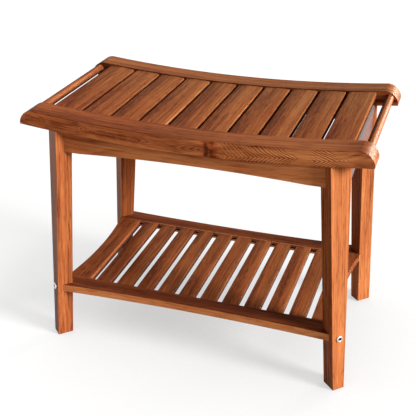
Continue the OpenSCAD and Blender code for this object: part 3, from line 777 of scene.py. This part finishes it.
SHELF_IOR = 1.055
# The shelf rails' tops are darkened as painted shade, and the back one's side that faces the front
# is lightened as painted light.
for k, (side, faces) in enumerate((("front", ()), ("back", ((FRONT, 0.3),)))):
    use(
        f"shelf_rail_{side}",
        wood(
            f"teak_shelf_rail_{side}", ALONG_X, UP, (0, 0, 0.07), shift=6.1 + 3.3 * k, depth=0.06,
            spacing=0.003, rings=0.18, streaks=0.5, tone=0.30, top=0.53, ior=SHELF_IOR,
            faces=faces,
        ),
        BOARD_EDGE,
    )
for k, (side, _) in enumerate(SIDES):
    use(
        f"shelf_end_{side}",
        wood(
            f"teak_shelf_end_{side}", ALONG_Y, UP, (0, 0, 0.07), shift=9.4 + 2.7 * k, depth=0.06,
            spacing=0.003, rings=0.18, streaks=0.5, tone=-0.12, ior=SHELF_IOR, mottle=0.2,
        ),
        BOARD_EDGE,
    )
# The sides of the shelf slats that face right are darkened as painted shade.
for i, tone in enumerate(SHELF_TONES, 1):
    name = f"shelf_slat_{i:02d}"
    low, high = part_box(name)
    middle = (low.x + high.x) / 2
    use(
        name,
        wood(
            f"teak_{name}", ALONG_Y, UP, (middle + 0.01 * math.sin(2.9 * i), 0, high.z),
            shift=20.0 + 1.13 * i, depth=0.02 + 0.008 * math.sin(i * 1.3), spacing=0.0028,
            rings=0.14, streaks=0.42, tone=0.0, ior=SHELF_IOR, red=0.10, mottle=0.08,
            faces=((RIGHT, -0.30),),
            figure=slat_figure((high.x - low.x) / 2, SHELF_MOTTLE, tone, SHELF_FAR),
        ),
        SHELF_SLAT_EDGE,
    )

# The pieces that the seat frame hides.
for k, side in enumerate(("front", "back")):
    use(
        f"seat_ledger_{side}",
        wood(
            f"teak_ledger_{side}", ALONG_X, UP, (0, 0, 0.40), shift=31.0 + 2 * k, depth=0.06,
            spacing=0.003, rings=0.15, streaks=0.5, tone=0.0,
        ),
    )
for k, (corner, sx, sy) in enumerate(CORNERS):
    use(
        f"corner_block_{corner}",
        wood(
            f"teak_block_{corner}", (sx, -sy, 0), UP, (0, 0, 0.40), shift=41.0 + 3 * k, depth=0.05,
            spacing=0.003, rings=0.2, streaks=0.5, tone=0.0,
        ),
    )
use(
    "rail_dowels",
    wood(
        "beech_dowels", ALONG_Z, FRONT, (0, 0, 0), shift=51.0, depth=0.05, spacing=0.002,
        rings=0.1, streaks=0.3, tone=0.35,
    ),
)

# ---- Metal ----

TARNISH, TARNISH_CELLS = 0.82, (220.0, 220.0, 220.0)
SCRATCH_ROUGHNESS, SCRATCH_STRENGTH, SCRATCH_DEPTH = 0.16, 0.15, 0.0001


def metal(name, colour, rough, cells):
    """A brushed metal whose scratches are so many per metre."""
    material, m, shader = new_material(name)
    coords = m.add("ShaderNodeTexCoord").outputs["Object"]
    scratch = m.noise(coords, (cells, cells, cells), 3.0, 0.6)
    dull = m.noise(coords, TARNISH_CELLS)
    darker = tuple(c * TARNISH for c in colour)
    tarnished = m.mix(m.band(dull, 0.35, 0.7), (*darker, 1.0), (*colour, 1.0))
    m.feed(shader.inputs["Base Color"], tarnished)
    m.feed(shader.inputs["Roughness"], m.times_plus(scratch, SCRATCH_ROUGHNESS, rough))
    shader.inputs["Metallic"].default_value = 1.0
    m.bump(shader, scratch, SCRATCH_STRENGTH, SCRATCH_DEPTH)
    return material


steel = metal("steel", (0.80, 0.79, 0.77), 0.16, 2600.0)
brass = metal("brass", (0.78, 0.56, 0.25), 0.24, 2600.0)
socket_steel = metal("socket_steel", (0.020, 0.019, 0.018), 0.55, 1500.0)
for name in ("leg_bolts", "leg_bolt_washers", "slat_screws", "ledger_screws", "block_screws"):
    use(name, steel)
for name in ("shelf_inserts", "leg_inserts"):
    use(name, brass)

# ---- Shelf bolts: domed heads with a hexagon socket ----
# One profile, turned round the bolt's axis: radius and depth below the head's top. The last
# four rings are hexagonal, and everything inside them is the dark socket.

# Top of the head and direction of the axis, at the back right corner.
BOLT_TOP, BOLT_AXIS = Vector((0.27437, 0.16218, 0.10721)), Vector((0.7061, 0.7061, 0.05336))
TURNED = (
    (0.0022, 0.0446), (0.0030, 0.0438), (0.0030, 0.0036), (0.0031, 0.0035), (0.0057, 0.0035),
    (0.0060, 0.0032), (0.0060, 0.0017), (0.00585, 0.0011), (0.0055, 0.0006), (0.0049, 0.0002),
    (0.0044, 0.00003), (0.0041, 0.0), (0.0039, 0.0001),
)
HEXAGONAL = ((0.0036, 0.0004), (0.0035, 0.0008), (0.0034, 0.0024), (0.0012, 0.0029))
AROUND = 48
HALF_SIDE = math.pi / 6  # angle of half a side of a hexagon
CRISP_ANGLE = math.radians(38)


def bolt_rings():
    """All rings as lists of (x, y, depth), from the shank's tip to the socket's bottom."""
    rings = []
    for hexagonal, profile in ((False, TURNED), (True, HEXAGONAL)):
        for radius, depth in profile:
            ring = []
            for k in range(AROUND):
                angle = 2 * math.pi * k / AROUND
                r = radius
                if hexagonal:
                    r *= math.cos(HALF_SIDE) / math.cos(angle % (2 * HALF_SIDE) - HALF_SIDE)
                ring.append((r * math.cos(angle), r * math.sin(angle), depth))
            rings.append(ring)
    return rings


def add_bolt(b, sx, sy):
    """Adds one bolt to the bmesh, at the corner (sx, sy)."""
    top = Vector((sx * BOLT_TOP.x, sy * BOLT_TOP.y, BOLT_TOP.z))
    axis = Vector((sx * BOLT_AXIS.x, sy * BOLT_AXIS.y, BOLT_AXIS.z)).normalized()
    u = axis.cross(Vector(UP)).normalized()
    v = axis.cross(u)
    rings = [
        [b.verts.new(top + u * x + v * y - axis * depth) for x, y, depth in ring]
        for ring in bolt_rings()
    ]
    faces = [b.faces.new(rings[0])]
    for j, (lower, upper) in enumerate(zip(rings, rings[1:])):
        for k in range(AROUND):
            n = (k + 1) % AROUND
            face = b.faces.new((lower[k], lower[n], upper[n], upper[k]))
            face.material_index = int(j >= len(TURNED))
            faces.append(face)
    bottom = b.faces.new(rings[-1])
    bottom.material_index = 1
    faces.append(bottom)
    for face in faces:
        face.smooth = True


bolt_mesh = bpy.data.meshes.new("shelf_bolt_set")
b = bmesh.new()
for _, sx, sy in CORNERS:
    add_bolt(b, sx, sy)
bmesh.ops.recalc_face_normals(b, faces=b.faces)
b.to_mesh(bolt_mesh)
b.free()
bolt_mesh.materials.append(steel)
bolt_mesh.materials.append(socket_steel)
bolts = bpy.data.objects.new("shelf_bolt_set", bolt_mesh)
scene.collection.objects.link(bolts)
crisp = bolts.modifiers.new("crisp", "EDGE_SPLIT")
crisp.split_angle = CRISP_ANGLE
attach(bolts, "root")
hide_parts("shelf_bolts")

# ---- Floor, light and background ----

WHITE = (1.0, 1.0, 1.0, 1.0)
FLOOR_HALF, FLOOR_Z = 6.0, -0.0002
# The floor's grey as the picture shows it, and as the light that bounces off it sees it.
SEEN_FLOOR, BOUNCING_FLOOR = (0.244, 0.244, 0.244, 1.0), (0.62, 0.62, 0.62, 1.0)
# The floor glows a little, and less so under and beside the bench, where ambient occlusion
# paints a soft shadow on it.
GLOW_LEAST, GLOW_IN_THE_OPEN, GLOW_REACH, GLOW_SAMPLES = 0.456, 0.37, 3.0, 8
AMBIENT = 0.13


def is_seen(m):
    """1 for rays from the camera, also by way of a sheen, and 0 for the light that falls."""
    path = m.add("ShaderNodeLightPath").outputs
    by_sheen = m.math("MAXIMUM", path["Is Glossy Ray"], path["Is Transmission Ray"])
    return m.math("MAXIMUM", path["Is Camera Ray"], by_sheen)


floor_mesh = bpy.data.meshes.new("floor")
b = bmesh.new()
bmesh.ops.create_grid(b, x_segments=1, y_segments=1, size=FLOOR_HALF)
b.to_mesh(floor_mesh)
b.free()
floor = bpy.data.objects.new("floor", floor_mesh)
floor.location.z = FLOOR_Z
scene.collection.objects.link(floor)
floor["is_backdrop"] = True
floor_material, m, shader = new_material("floor")
floor_mesh.materials.append(floor_material)
seen = is_seen(m)
# A painted shadow: ambient occlusion dims the glow under and beside the bench.
near = m.add("ShaderNodeAmbientOcclusion", samples=GLOW_SAMPLES)
near.inputs["Distance"].default_value = GLOW_REACH
glow = m.times_plus(near.outputs["AO"], GLOW_IN_THE_OPEN, GLOW_LEAST)
m.feed(shader.inputs["Base Color"], m.mix(seen, BOUNCING_FLOOR, SEEN_FLOOR))
shader.inputs["Roughness"].default_value = 1.0
shader.inputs["Specular IOR Level"].default_value = 0.0
shader.inputs["Emission Color"].default_value = WHITE
m.feed(shader.inputs["Emission Strength"], m.times(seen, glow))

world = bpy.data.worlds.new("world")
scene.world = world
world.use_nodes = True
m = Tree(world.node_tree)
background = next(n for n in world.node_tree.nodes if n.type == "BACKGROUND")
background.inputs["Color"].default_value = WHITE
m.feed(background.inputs["Strength"], m.times_plus(is_seen(m), 1.0 - AMBIENT, AMBIENT))

# Name, direction to the sun, strength, width in degrees, colour.
SUNS = (
    ("key", (0.9131, -0.1610, 0.3746), 6.3, 19.0, (1.0, 1.0, 1.0)),
    ("rim", (0.5286, 0.8460, 0.0698), 3.6, 12.0, (1.0, 0.93, 0.72)),
    ("fill", (0.45, -1.0, 0.3), 0.55, 70.0, (1.0, 1.0, 1.0)),
)
for name, towards, strength, width, colour in SUNS:
    data = bpy.data.lights.new(name, "SUN")
    data.energy = strength
    data.color = colour
    data.angle = math.radians(width)
    lamp = bpy.data.objects.new(name, data)
    lamp.rotation_mode = "QUATERNION"
    lamp.rotation_quaternion = Vector(towards).to_track_quat("Z", "Y")
    scene.collection.objects.link(lamp)

# ---- Bounds of the shown pieces ----

low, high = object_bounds()
